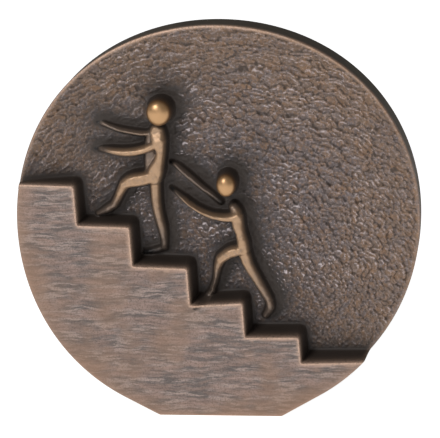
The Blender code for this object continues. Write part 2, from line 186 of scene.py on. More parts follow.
# the rows of marks bend round this spot, and the marks have their true width this far from it
MARKS_ROUND = (5.0, 14.0)
MARKS_REACH = 70.0
# a mark's width and the step between rows as shares of its size, and how far rows stray
MARK_WIDE = 1.9
ROW_STEP = 0.62
STRAY_ALONG = 2.4
STRAY_ACROSS = 5.0

# Painted shade over dark patina lies thickest on this side of the figures, their shaded side, and
# fades over these distances from the figures' shaded side, the stair's wall and the figures all
# round, there only in part
SHADE_SIDE = (1.6, 0.9)
SHADE_FADE = 5.0
WALL_FADE = 4.0
FIGURE_FADE = 7.5
FIGURE_SHARE = 0.55

# The photograph's width and scale, and where its camera stood: degrees to the right, up and
# rolled, metres away, and the spot across and up that it looks at
PHOTO_WIDE = 440
PIXELS_PER_MM = 3.372
CAMERA_SIDE = 8.0
CAMERA_LIFT = 15.0
CAMERA_ROLL = -2.03
CAMERA_AWAY = 0.7
CAMERA_AIM = (-0.000356, 0.058)
CAMERA_SENSOR = 36

# Lights: name, place, size and power; then the world's strength, and the floor's half width,
# grey and glow
LIGHTS = (("key", (-0.5, -0.9, 0.75), 0.35, 7.8), ("fill", (0.1, -1.3, 0.3), 0.8, 1.4))
LIGHTS_AIM = (0, 0, 0.058)
WORLD_STRENGTH = 0.1
FLOOR_REACH = 6
FLOOR_GREY = 0.9
FLOOR_GLOW = 0.95


def outline():
    """The disc's edge, anticlockwise: the wandering circle and the foot's corners, pulled tight."""
    points = []
    for i in range(OUTLINE_STEPS):
        a = 2 * math.pi * i / OUTLINE_STEPS
        wander = sum(c * math.cos(n * a) + s * math.sin(n * a) for n, (c, s) in enumerate(WANDER, 1))
        r = RADIUS * (1 + wander)
        points.append((CENTRE[0] + r * math.cos(a), CENTRE[1] + r * math.sin(a)))
    points = [p for p in points if p[1] > FOOT_CORNER]
    for side in (-1, 1):
        for i in range(5):
            a = math.radians(270 + side * 70 * i / 4)
            points.append((FOOT_MIDDLE + side * (FOOT_WIDTH / 2 - FOOT_CORNER) + FOOT_CORNER * math.cos(a),
                           FOOT_CORNER * (1 + math.sin(a))))
    points.sort()
    hull = []
    for run in (points, points[::-1]):
        part = []
        for p in run:
            while len(part) > 1 and ((part[-1][0] - part[-2][0]) * (p[1] - part[-2][1])
                                     - (part[-1][1] - part[-2][1]) * (p[0] - part[-2][0])) <= 1e-9:
                part.pop()
            part.append(p)
        hull += part[:-1]
    # closer points where the stair's walls run out through the edge
    steps, loop = stair(), []
    for p, q in zip(hull, hull[1:] + hull[:1]):
        p, q = np.array(p), np.array(q)
        close = nearest(np.array([p, (p + q) / 2, q]), steps)[0].min() < 2.5 * WALL_DRAFT
        n = max(1, math.ceil(np.linalg.norm(q - p) / EDGE_STATION)) if close else 1
        loop += [p + (q - p) * i / n for i in range(n)]
    return np.array(loop)


def inset(loop, distance):
    """The same loop moved inwards."""
    before, after = np.roll(loop, 1, 0), np.roll(loop, -1, 0)
    a = (loop - before) / np.linalg.norm(loop - before, axis=1)[:, None]
    b = (after - loop) / np.linalg.norm(after - loop, axis=1)[:, None]
    normal = np.stack([-(a[:, 1] + b[:, 1]), a[:, 0] + b[:, 0]], 1)
    normal /= np.linalg.norm(normal, axis=1)[:, None]
    return loop + distance * normal


def stair():
    """The stair's edge on the plate's face, from beyond the left edge to beyond the right one."""
    x, z = FIRST_RISER, FIRST_TREAD - FALLS[0]
    points = [(x - 2 * RADIUS, FIRST_TREAD), (x - RUNS[0], FIRST_TREAD)]
    runs = RUNS + (2 * RADIUS,)
    for run, drop, fall in zip(runs, DROPS, FALLS[1:]):
        points.append((x, z))
        x, z = x + RISER_LEAN, z - drop
        points.append((x, z))
        slope = fall / RUNS[0]
        x, z = x + run - RISER_LEAN, z - slope * (run - RISER_LEAN)
    points.append((x, z))
    rounded = [points[0]]
    for p, q, r in zip(points, points[1:], points[2:]):
        p, q, r = (np.array(v) for v in (p, q, r))
        to, on = (p - q) / np.linalg.norm(p - q), (r - q) / np.linalg.norm(r - q)
        if abs(to @ on) > 0.9:
            rounded.append(tuple(q))
            continue
        for t in (0.0, 0.5, 1.0):
            rounded.append(tuple(q + STAIR_CORNER * ((1 - t) ** 2 * to + t ** 2 * on)))
    rounded.append(points[-1])
    return np.array(rounded)


def nearest(points, line):
    """For each point: distance to the line, where along it, and which side (positive on its left)."""
    best = np.full(len(points), 1e9)
    along = np.zeros(len(points))
    side = np.zeros(len(points))
    for i, (a, b) in enumerate(zip(line, line[1:])):
        ab = b - a
        t = np.clip(((points - a) @ ab) / (ab @ ab), 0, 1)
        gap = points - a - t[:, None] * ab
        d = np.hypot(gap[:, 0], gap[:, 1])
        cross = ab[0] * (points[:, 1] - a[1]) - ab[1] * (points[:, 0] - a[0])
        closer = d < best - 1e-9
        best[closer], along[closer], side[closer] = d[closer], (i + t)[closer], cross[closer]
    return best, along, np.where(side >= 0, 1.0, -1.0)


def upper(a, b, k):
    """The higher of two surfaces with the valley between them filled."""
    h = np.clip(0.5 + 0.5 * (a - b) / k, 0, 1)
    return b + (a - b) * h + k * h * (1 - h)


def lower(a, b, k):
    """The lower of two surfaces with the ridge between them rounded."""
    return -upper(-a, -b, k)


def smooth_line(stations, step):
    """A curve through the stations: across, up, half width and crest, about one step apart."""
    s = np.array(stations, float)
    s = np.vstack([2 * s[0] - s[1], s, 2 * s[-1] - s[-2]])
    out = []
    for a, b, c, d in zip(s, s[1:], s[2:], s[3:]):
        count = max(1, round(math.hypot(c[0] - b[0], c[1] - b[1]) / step))
        for i in range(count):
            t = i / count
            out.append(0.5 * (2 * b + (c - a) * t + (2 * a - 5 * b + 4 * c - d) * t ** 2
                              + (3 * b - a - 3 * c + d) * t ** 3))
    out.append(s[-2])
    return np.array(out)


def figure(limbs, tall, foot):
    """The figure's limbs in millimetres: across, up, half width, height of the crest."""
    out = []
    for stations in limbs.values():
        line = np.array(stations, float)
        line[:, :3] *= tall
        line[:, :2] += foot
        line[:, 3] = FLOOR + line[:, 3] * (THICKNESS - FLOOR)
        out.append(smooth_line(line, STATION))
    return out


def head(share, tall, foot):
    """A head in millimetres: its middle, its half width and height, and its crown's height."""
    across, up, half_wide, half_high, crown = share
    return (np.array((foot[0] + across * tall, foot[1] + up * tall)), np.array((half_wide, half_high)) * tall,
            FLOOR + crown * (THICKNESS - FLOOR))


def ground(points, edge):
    """The dished ground: flat in the middle, rising to the rim, which dies away at the lower right."""
    v, w = points - np.array(CENTRE), edge - np.array(CENTRE)
    reach, rim = np.hypot(v[:, 0], v[:, 1]), np.hypot(w[:, 0], w[:, 1])
    bearing = np.arctan2(w[:, 1], w[:, 0])
    order = np.argsort(bearing)
    here = np.arctan2(v[:, 1], v[:, 0])
    share = np.clip(reach / np.interp(here, bearing[order], rim[order], period=2 * math.pi), 0, 1)
    degrees = np.degrees(here)
    degrees = np.where(degrees < -90, 180, degrees)
    t = np.clip((degrees - RIM_LOW_ANGLE) / (RIM_HIGH_ANGLE - RIM_LOW_ANGLE), 0, 1)
    height = RIM_LOW + (RIM_HIGH - RIM_LOW) * t * t * (3 - 2 * t)
    return FLOOR + (height - FLOOR) * share ** DISH_POWER


def limb_height(points, base, line):
    """A limb's own surface: full at the crest, down to the ground at the flare."""
    d, along, _ = nearest(points, line[:, :2])
    i = np.minimum(along.astype(int), len(line) - 2)
    t = (along - i)[:, None]
    here = line[i] * (1 - t) + line[i + 1] * t
    crest = here[:, 2]
    root = crest + LIMB_FLARE
    power = np.maximum(-1.682 / np.log(np.clip(crest / root, 0.05, 0.95)), 1.7)
    share = np.clip(1 - np.clip(d / root, 0, 1) ** power, 0, 1) ** 1.4
    return base + (here[:, 3] - base) * share, d, root


def head_height(points, base, centre, half, crown):
    """A head's own surface: a dome over its equator, and a steep skirt down to the ground."""
    v = (points - centre) / half
    u = np.hypot(v[:, 0], v[:, 1])
    equator = base + EQUATOR * (crown - base)
    dome = equator + (crown - equator) * np.sqrt(np.clip(1 - u * u, 0, 1))
    flare = 1 + HEAD_FLARE / half.mean()
    skirt = base + (equator - base) * np.clip((flare - u) / (flare - 1), 0, 1) ** 1.2
    return np.where(u < 1, dome, skirt), u, flare


def surface(points, edge, steps, limbs, heads):
    """Height of the front over the back at each point, before the edge is rounded."""
    base = ground(points, edge)
    d, _, side = nearest(points, steps)
    out = d * side
    slope = (THICKNESS - FLOOR) / WALL_DRAFT
    wall = lower(np.full(len(points), THICKNESS), THICKNESS - slope * out, WALL_ROUND)
    wall = np.where(out > 0, np.maximum(wall, 0), wall)
    height = upper(base, wall, WALL_ROOT)
    height = np.where(out > WALL_DRAFT * 1.6, base, height)
    height = np.where(out < -WALL_DRAFT, THICKNESS, height)
    raised = base.copy()
    for line in limbs:
        own, d, root = limb_height(points, base, line)
        valley = np.minimum(BLEND, 1.2 * np.abs(own - base) + 1e-6)
        raised = np.where(d < root, upper(raised, own, valley), raised)
    for centre, half, crown in heads:
        raised = np.maximum(raised, head_height(points, base, centre, half, crown)[0])
    return np.maximum(height, raised)


def along_normals(line):
    """Unit normals to the left of the line at each of its points."""
    d = np.gradient(line[:, :2], axis=0)
    d /= np.linalg.norm(d, axis=1)[:, None]
    return np.stack([-d[:, 1], d[:, 0]], 1)


def inside(points, loop):
    """Which points lie within the closed loop."""
    hit = np.zeros(len(points), bool)
    for p, q in zip(loop, np.roll(loop, -1, 0)):
        cross = (p[1] > points[:, 1]) != (q[1] > points[:, 1])
        with np.errstate(divide="ignore", invalid="ignore"):
            x = (q[0] - p[0]) * (points[:, 1] - p[1]) / (q[1] - p[1]) + p[0]
        hit ^= cross & (points[:, 0] < x)
    return hit


class Cloud:
    """Points in the plane that keep their distance, kept in small squares for speed."""

    def __init__(self):
        self.points = []
        self.squares = {}

    def place(self, p):
        square = (int(p[0] // CLOUD_SQUARE), int(p[1] // CLOUD_SQUARE))
        self.squares.setdefault(square, []).append(len(self.points))
        self.points.append((float(p[0]), float(p[1])))

    def add(self, p, gap):
        """Place the point unless another lies nearer than the gap."""
        x, z = float(p[0]), float(p[1])
        reach = int(gap // CLOUD_SQUARE) + 1
        i, j = int(x // CLOUD_SQUARE), int(z // CLOUD_SQUARE)
        least = gap * gap
        for u in range(i - reach, i + reach + 1):
            for v in range(j - reach, j + reach + 1):
                for k in self.squares.get((u, v), ()):
                    q = self.points[k]
                    if (q[0] - x) ** 2 + (q[1] - z) ** 2 < least:
                        return
        self.place((x, z))


def grid(step, edge):
    """Rows of points over the whole disc, every other row moved by half a step."""
    low, high = edge.min(0), edge.max(0)
    rows = np.arange(low[1], high[1], step * math.sqrt(0.75))
    columns = np.arange(low[0], high[0], step)
    return np.array([(x + (step / 2 if i % 2 else 0), z) for i, z in enumerate(rows) for x in columns])


def triangles(points, chains):
    """Faces over the points within the outer chain, and where each point went."""
    points, _, faces, came, *_ = delaunay_2d_cdt([Vector(p) for p in points], chains, [], 1, 1e-6)
    index = {given: new for new, old in enumerate(came) for given in old}
    return np.array([tuple(p) for p in points]), [tuple(f) for f in faces], index


def smooth(value, low, high):
    """0 at low and 1 at high; low may be the larger."""
    t = np.clip((value - low) / (high - low), 0, 1)
    return t * t * (3 - 2 * t)


def masks(points, edge, steps, limbs, heads):
    """What the finish needs at each point: how far out from the stair's edge, the limb's cover and
    lift, the head's cover and crown, the gap to the figures and the room to the outline."""
    base = ground(points, edge)
    d, _, side = nearest(points, steps)
    out = d * side
    limb, lift = np.zeros(len(points)), np.zeros(len(points))
    gap = np.full(len(points), 1e9)
    for line in limbs:
        own, far, root = limb_height(points, base, line)
        crest = root - LIMB_FLARE
        cover = 1 - smooth(far, 0.7 * crest, crest + 0.5 * LIMB_FLARE)
        _, along, _ = nearest(points, line[:, :2])
        tall = np.interp(along, np.arange(len(line)), (line[:, 3] - FLOOR) / (THICKNESS - FLOOR))
        lift = np.where(cover * tall > limb * lift, tall, lift)
        limb = np.maximum(limb, cover)
        gap = np.minimum(gap, far - root)
    ball, crown = np.zeros(len(points)), np.zeros(len(points))
    for centre, half, top in heads:
        _, u, flare = head_height(points, base, centre, half, top)
        ball = np.maximum(ball, 1 - smooth(u, 0.9, 1.06))
        crown = np.maximum(crown, 1 - u)
        gap = np.minimum(gap, (u - flare) * half.min())
    room = nearest(points, np.vstack([edge, edge[:1]]))[0]
    return out, limb, lift, ball, crown, gap, room


def fine_front(edge, steps, limbs, heads):
    """The front as triangles: points in the plane and faces, close where the form turns quickly."""
    cloud, chains = Cloud(), []
    count = len(edge)
    for share in EDGE_LOOPS:
        first = len(cloud.points)
        for p in inset(edge, share * FRONT_EDGE):
            cloud.place(p)
        chains += [(first + i, first + (i + 1) % count) for i in range(count)]
    border = inset(edge, FRONT_EDGE)
    shut = np.vstack([border, border[:1]])[::3]

    def lay(points, gap, wanted=None):
        good = inside(points, border[::2])
        if wanted is not None:
            good &= wanted
        # the grids keep off the outline by themselves
        if len(points) < 4000:
            good &= nearest(points, shut)[0] > max(0.2, 0.4 * gap)
        for p in points[good]:
            cloud.add(p, gap)

    fine = [steps[0]]
    for a, b in zip(steps, steps[1:]):
        n = max(1, round(np.linalg.norm(b - a) / STATION))
        fine += [a + (b - a) * (i + 1) / n for i in range(n)]
    fine = np.array(fine)
    fine = fine[np.hypot(*(fine - np.array(CENTRE)).T) < RADIUS * 1.05]
    normal = along_normals(fine)
    for out in WALL_LINES:
        shifted = fine + out * normal
        d, _, side = nearest(shifted, steps)
        lay(shifted, WALL_GAP, np.abs(d * side - out) < 0.05)
    for centre, half, crown in heads:
        flare = HEAD_FLARE / half.mean()
        for u in HEAD_RINGS + tuple(1 + share * flare for share in HEAD_FLARE_RINGS):
            n = max(1, round(2 * math.pi * u * half.mean() / 0.3))
            a = 2 * math.pi * np.arange(n) / n
            ring = centre + u * half * np.stack([np.cos(a), np.sin(a)], 1)
            own = head_height(ring, ground(ring, edge), centre, half, crown)[0]
            lay(ring, HEAD_GAP, surface(ring, edge, steps, limbs, heads) < own + COVERED)
    for share in LIMB_LINES:
        for line in limbs:
            n = along_normals(line)
            reach = line[:, 2:3] * min(share, 1.0) + LIMB_FLARE * max(share - 1.0, 0.0)
            for s in ((-1, 1) if share else (1,)):
                points = line[:, :2] + s * reach * n
                own = limb_height(points, ground(points, edge), line)[0]
                lay(points, LIMB_GAP, surface(points, edge, steps, limbs, heads) < own + COVERED)
    for step, zone in ((FIGURE_GRID, "figures"), (GROUND_GRID, "ground"), (PLATE_GRID, "plate")):
        points = grid(step, edge)
        points = points[inside(points, border[::2])]
        out, *_, gap, room = masks(points, edge[::6], steps, limbs, heads)
        near = (gap < 0.9) | ((out > -0.8) & (out < 2.6))
        wanted = {"figures": near, "ground": ~near & (out > 0), "plate": ~near & (out < 0)}[zone]
        lay(points, 0.72 * step, wanted & (room > FRONT_EDGE + 0.4 * step))
    points, faces, index = triangles(cloud.points, chains)
    return points, faces, [index[i] for i in range(count)]


def casting():
    """The whole casting as one closed mesh, with the finish's masks as attributes."""
    edge, steps = outline(), stair()
    limbs = figure(LEADER, LEADER_TALL, LEADER_FOOT) + figure(PUSHER, PUSHER_TALL, PUSHER_FOOT)
    heads = [head(LEADER_HEAD, LEADER_TALL, LEADER_FOOT), head(PUSHER_HEAD, PUSHER_TALL, PUSHER_FOOT)]
    front, faces, previous = fine_front(edge, steps, limbs, heads)
    height = surface(front, edge, steps, limbs, heads)
    out, limb, lift, ball, crown, gap, room = masks(front, edge, steps, limbs, heads)
    short = np.clip(1 - room / FRONT_EDGE, 0, 1)
    height -= FRONT_EDGE * (1 - np.sqrt(1 - short ** 2))

    # The side wall, the rounded back edge and the back, which is plain
    verts = [(x, -h, z) for (x, z), h in zip(front, height)]
    count = len(edge)
    rim = np.array([verts[i][1] for i in previous])
    rows = [(0.0, rim * (1 - t) - BACK_EDGE * t) for t in SIDE_ROWS]
    for a in np.radians(BACK_EDGE_ROWS):
        rows.append((BACK_EDGE * (1 - math.cos(a)), np.full(count, -BACK_EDGE * (1 - math.sin(a)))))
    for move, depth in rows:
        loop = list(range(len(verts), len(verts) + count))
        verts += [(x, y, z) for (x, z), y in zip(inset(edge, move), depth)]
        faces += [(previous[i], loop[i], loop[(i + 1) % count], previous[(i + 1) % count])
                  for i in range(count)]
        previous = loop
    rear = inset(edge, BACK_EDGE)
    inner = grid(BACK_GRID, edge)
    inner = inner[inside(inner, inset(edge, BACK_EDGE + 0.5 * BACK_GRID)[::3])]
    around_back = [(i, (i + 1) % count) for i in range(count)]
    points, tiles, index = triangles(np.vstack([rear, inner]), around_back)
    matched = {index[i]: previous[i] for i in range(count)}
    number = []
    for k, (x, z) in enumerate(points):
        number.append(matched.get(k, len(verts)))
        if k not in matched:
            verts.append((x, 0.0, z))
    faces += [tuple(number[i] for i in reversed(t)) for t in tiles]

    body = np.array(verts)
    rest = len(body) - len(front)
    mesh = bpy.data.meshes.new("casting")
    mesh.from_pydata(((body - shift(edge)) / 1000).tolist(), [], faces)
    mesh.polygons.foreach_set("use_smooth", np.ones(len(faces), bool))

    # The masks of the finish; behind is the gap to the figures as seen from their shaded side. The halo
    # round the figures and the stair and the dark roots along them are painted shade over dark patina
    v = front - np.array(CENTRE)
    plate = smooth(out, 0.35, -0.15)
    behind = masks(front - np.array(SHADE_SIDE), edge, steps, limbs, heads)[-2]
    # painted shade over dark patina: on the stair's wall and at its foot, and at the figures' roots, widest
    # on their shaded side
    stair_root = smooth(out, 3.0, WALL_DRAFT * 0.8) * (out > 0)
    figure_root = np.maximum(smooth(behind, 1.9, 0.0), smooth(gap, 0.7, -0.2))
    # painted shade over dark patina: a halo on the ground from the figures' shaded side, the stair's wall
    # and, in part, the figures all round
    patina_and_shade_halo = np.maximum(np.exp(-np.maximum(behind, 0) / SHADE_FADE),
                        np.exp(-np.maximum(out - WALL_DRAFT, 0) / WALL_FADE))
    patina_and_shade_halo = np.maximum(patina_and_shade_halo, FIGURE_SHARE * np.exp(-np.maximum(gap, 0) / FIGURE_FADE))
    free = smooth(out, 2.0, 3.4) * smooth(gap, 0.1, 1.8) * smooth(room, 0.3, 1.6) * (1 - 0.45 * patina_and_shade_halo)
    rim = rim_shine(front) * np.exp(-((room - 0.3) / 0.45) ** 2)
    values = {
        "plate": (plate, 0.0),
        "figure": (limb, 0.0),
        "lift": (lift, 0.0),
        "ball": (ball, 0.0),
        "crown": (crown, 0.0),
        "patina_and_shade_halo": (patina_and_shade_halo, 0.0),
        "dark_patina_and_shade": (np.clip(np.maximum(stair_root, figure_root), 0, 1), 0.0),
        "edge": (np.maximum(np.exp(-((out + 0.24) / 0.42) ** 2), rim), 0.0),
        "outward": (np.hypot(v[:, 0], v[:, 1]) / RADIUS, 0.0),
        "hammered": (free, 0.0),
        "side": (np.zeros(len(front)), 1.0),
    }
    for name, (own, others) in values.items():
        layer = mesh.attributes.new(name, "FLOAT", "POINT")
        layer.data.foreach_set("value", np.concatenate([own, np.full(rest, others)]).astype(np.float32))
    return mesh


def rim_shine(points):
    """How brightly the rim is rubbed: most at the top, little on the left, the right and below."""
    v = points - np.array(CENTRE)
    degrees = np.degrees(np.arctan2(v[:, 1], v[:, 0]))
    return 0.2 + 0.8 * np.exp(-((degrees - 100) / 45) ** 2)


def shift(edge):
    """From the form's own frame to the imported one, where the box's middle is at the origin."""
    return np.array(((edge[:, 0].min() + edge[:, 0].max()) / 2, -HIGH[1], edge[:, 1].min()))


class Wire:
    """A node's output socket that takes part in Python arithmetic."""

    def __init__(self, sheet, socket):
        self.sheet, self.socket = sheet, socket

    def math(self, operation, *values):
        made = self.sheet.node("ShaderNodeMath", {"operation": operation}, dict(enumerate(values)))
        return made[0]

    def __add__(self, other):
        return self.math("ADD", self, other)

    def __radd__(self, other):
        return self.math("ADD", other, self)

    def __sub__(self, other):
        return self.math("SUBTRACT", self, other)

    def __rsub__(self, other):
        return self.math("SUBTRACT", other, self)

    def __mul__(self, other):
        return self.math("MULTIPLY", self, other)

    def __rmul__(self, other):
        return self.math("MULTIPLY", other, self)

    def __truediv__(self, other):
        return self.math("DIVIDE", self, other)

    def __pow__(self, other):
        return self.math("POWER", self, other)

    def between(self, low, high):
        """0 at low, 1 at high, smooth between; low may be the larger."""
        flip = low > high
        made = self.sheet.node("ShaderNodeMapRange", {"interpolation_type": "SMOOTHSTEP"},
                               {"Value": self, "From Min": min(low, high), "From Max": max(low, high),
                                "To Min": 1.0 if flip else 0.0, "To Max": 0.0 if flip else 1.0})
        return made["Result"]

    def clamped(self):
        return self.sheet.node("ShaderNodeClamp", {}, {"Value": self})["Result"]


class Sheet:
    """A node tree, and short ways to add nodes to it."""

    def __init__(self, tree):
        self.tree = tree

    def node(self, kind, settings, inputs):
        """A new node with its settings; an input is another node's Wire or a plain value."""
        made = self.tree.nodes.new(kind)
        for name, value in settings.items():
            setattr(made, name, value)
        for name, value in inputs.items():
            socket = made.inputs[name]
            if isinstance(value, Wire):
                self.tree.links.new(value.socket, socket)
            else:
                socket.default_value = value
        return Outputs(self, made)

    def mix(self, share, a, b):
        """Colour a where share is 0 and b where it is 1."""
        return self.node("ShaderNodeMix", {"data_type": "RGBA"}, {0: share, 6: a, 7: b})[2]


class Outputs:
    """A node's outputs as Wires, by name or number."""

    def __init__(self, sheet, made):
        self.sheet, self.made = sheet, made

    def __getitem__(self, name):
        return Wire(self.sheet, self.made.outputs[name])


def hammer_tree():
    """Geometry Nodes that beat scale-like hollows into the ground, in rows that bend round the
    foot of the stair. A nearer scale lies over the farther ones and its outer side stands up. The
    stored mark tone is a painted highlight on each scale's outer rim and painted shade just beyond it."""
    tree = bpy.data.node_groups.new("Hammer marks", "GeometryNodeTree")
    tree.interface.new_socket("Geometry", in_out="INPUT", socket_type="NodeSocketGeometry")
    inputs = {}
    for name, kind, value in (("Mark size", "Float", MARK_SIZE), ("Mark depth", "Float", MARK_DEPTH),
                              ("Lean", "Float", MARK_LEAN), ("Unevenness", "Float", LIMB_UNEVEN),
                              ("Seed", "Int", MARK_SEED), ("Metal", "Material", None)):
        socket = tree.interface.new_socket(name, in_out="INPUT", socket_type="NodeSocket" + kind)
        if value is not None:
            socket.default_value = value
        inputs[name] = socket.identifier
    tree.interface.new_socket("Geometry", in_out="OUTPUT", socket_type="NodeSocketGeometry")
    sheet = Sheet(tree)
    given = sheet.node("NodeGroupInput", {}, {})
    place = sheet.node("ShaderNodeSeparateXYZ", {}, {0: sheet.node("GeometryNodeInputPosition", {}, {})[0]})
    x, z = place["X"] * 1000 - MARKS_ROUND[0], place["Z"] * 1000 - MARKS_ROUND[1]
    size, lean, seed = given["Mark size"], given["Lean"], given["Seed"]
    flat = sheet.node("ShaderNodeCombineXYZ", {}, {"X": x, "Y": z, "Z": seed * 3.7})[0]
    bend = sheet.node("ShaderNodeTexNoise", {"noise_dimensions": "3D"},
                      {"Vector": flat, "Scale": 0.14, "Detail": 4.0})
    sway = sheet.node("ShaderNodeSeparateXYZ", {}, {0: bend["Color"]})
    along = x.math("ARCTAN2", x, z) * (MARKS_REACH / MARK_WIDE) / size + (sway["X"] - 0.5) * STRAY_ALONG
    across = (x * x + z * z) ** 0.5 * (1 / ROW_STEP) / size + (sway["Y"] - 0.5) * STRAY_ACROSS
    # the marks of four rows are laid from the farthest to the nearest, each in its own p and q:
    # along and across the row, 1 at the mark's edge
    height, mark_shading, chip = 0.0, 0.45, 0.5
    for behind in (2, 1, 0, -1):
        row = across.math("FLOOR", across) + behind
        half = row * 0.5 - row.math("FLOOR", row * 0.5)
        column = along.math("ROUND", along - half)
        which = sheet.node("ShaderNodeCombineXYZ", {}, {"X": column + seed * 17, "Y": row, "Z": 0.0})[0]
        dice = sheet.node("ShaderNodeTexWhiteNoise", {"noise_dimensions": "2D"}, {"Vector": which})
        luck = sheet.node("ShaderNodeSeparateXYZ", {}, {0: dice["Color"]})
        p = (along - half - column - (luck["X"] - 0.5) * 0.5) / (0.40 + 0.30 * luck["Z"])
        q = (across - row - (luck["Y"] - 0.5) * 1.2) / (0.95 + 0.55 * luck["Z"])
        far = (p * p + q * q) ** 0.5
        inside = far.between(1.12, 0.9)
        own = lean * q * 0.5 + given["Mark depth"] * (far * far - 0.6)
        # painted highlight on the outer rim of a scale, and painted shade just beyond the rim of a nearer one
        ridge = 0.45 + 0.55 * q.between(0.1, 0.9) * far.between(0.5, 0.95)
        mark_shading = mark_shading * (1 - 0.7 * far.between(1.55, 1.0))
        height, mark_shading = height + (own - height) * inside, mark_shading + (ridge - mark_shading) * inside
        chip = chip + (dice["Value"] - chip) * inside

    def mask(name):
        return sheet.node("GeometryNodeInputNamedAttribute", {"data_type": "FLOAT"},
                          {"Name": name})["Attribute"]

    lump = sheet.node("ShaderNodeTexNoise", {"noise_dimensions": "3D"},
                      {"Vector": flat, "Scale": 0.42, "Detail": 2.0})["Fac"]
    limbs = mask("figure") * (1 - mask("ball"))
    height = height * mask("hammered") + (lump - 0.5) * given["Unevenness"] * limbs
    push = sheet.node("ShaderNodeCombineXYZ", {}, {"X": 0.0, "Y": height * -0.001, "Z": 0.0})[0]
    shape = sheet.node("GeometryNodeSetPosition", {}, {"Geometry": given["Geometry"], "Offset": push})[0]
    # mark carries the painted highlight and shade of the scales, chip a random number for each scale
    for name, value in (("mark", mark_shading), ("chip", chip)):
        shape = sheet.node("GeometryNodeStoreNamedAttribute", {"data_type": "FLOAT", "domain": "POINT"},
                           {"Geometry": shape, "Name": name, "Value": value})[0]
    whole = sheet.node("GeometryNodeRealizeInstances", {}, {"Geometry": shape})[0]
    dressed = sheet.node("GeometryNodeSetMaterial", {}, {"Geometry": whole, "Material": given["Metal"]})[0]
    sheet.node("NodeGroupOutput", {}, {"Geometry": dressed})
    return tree, inputs


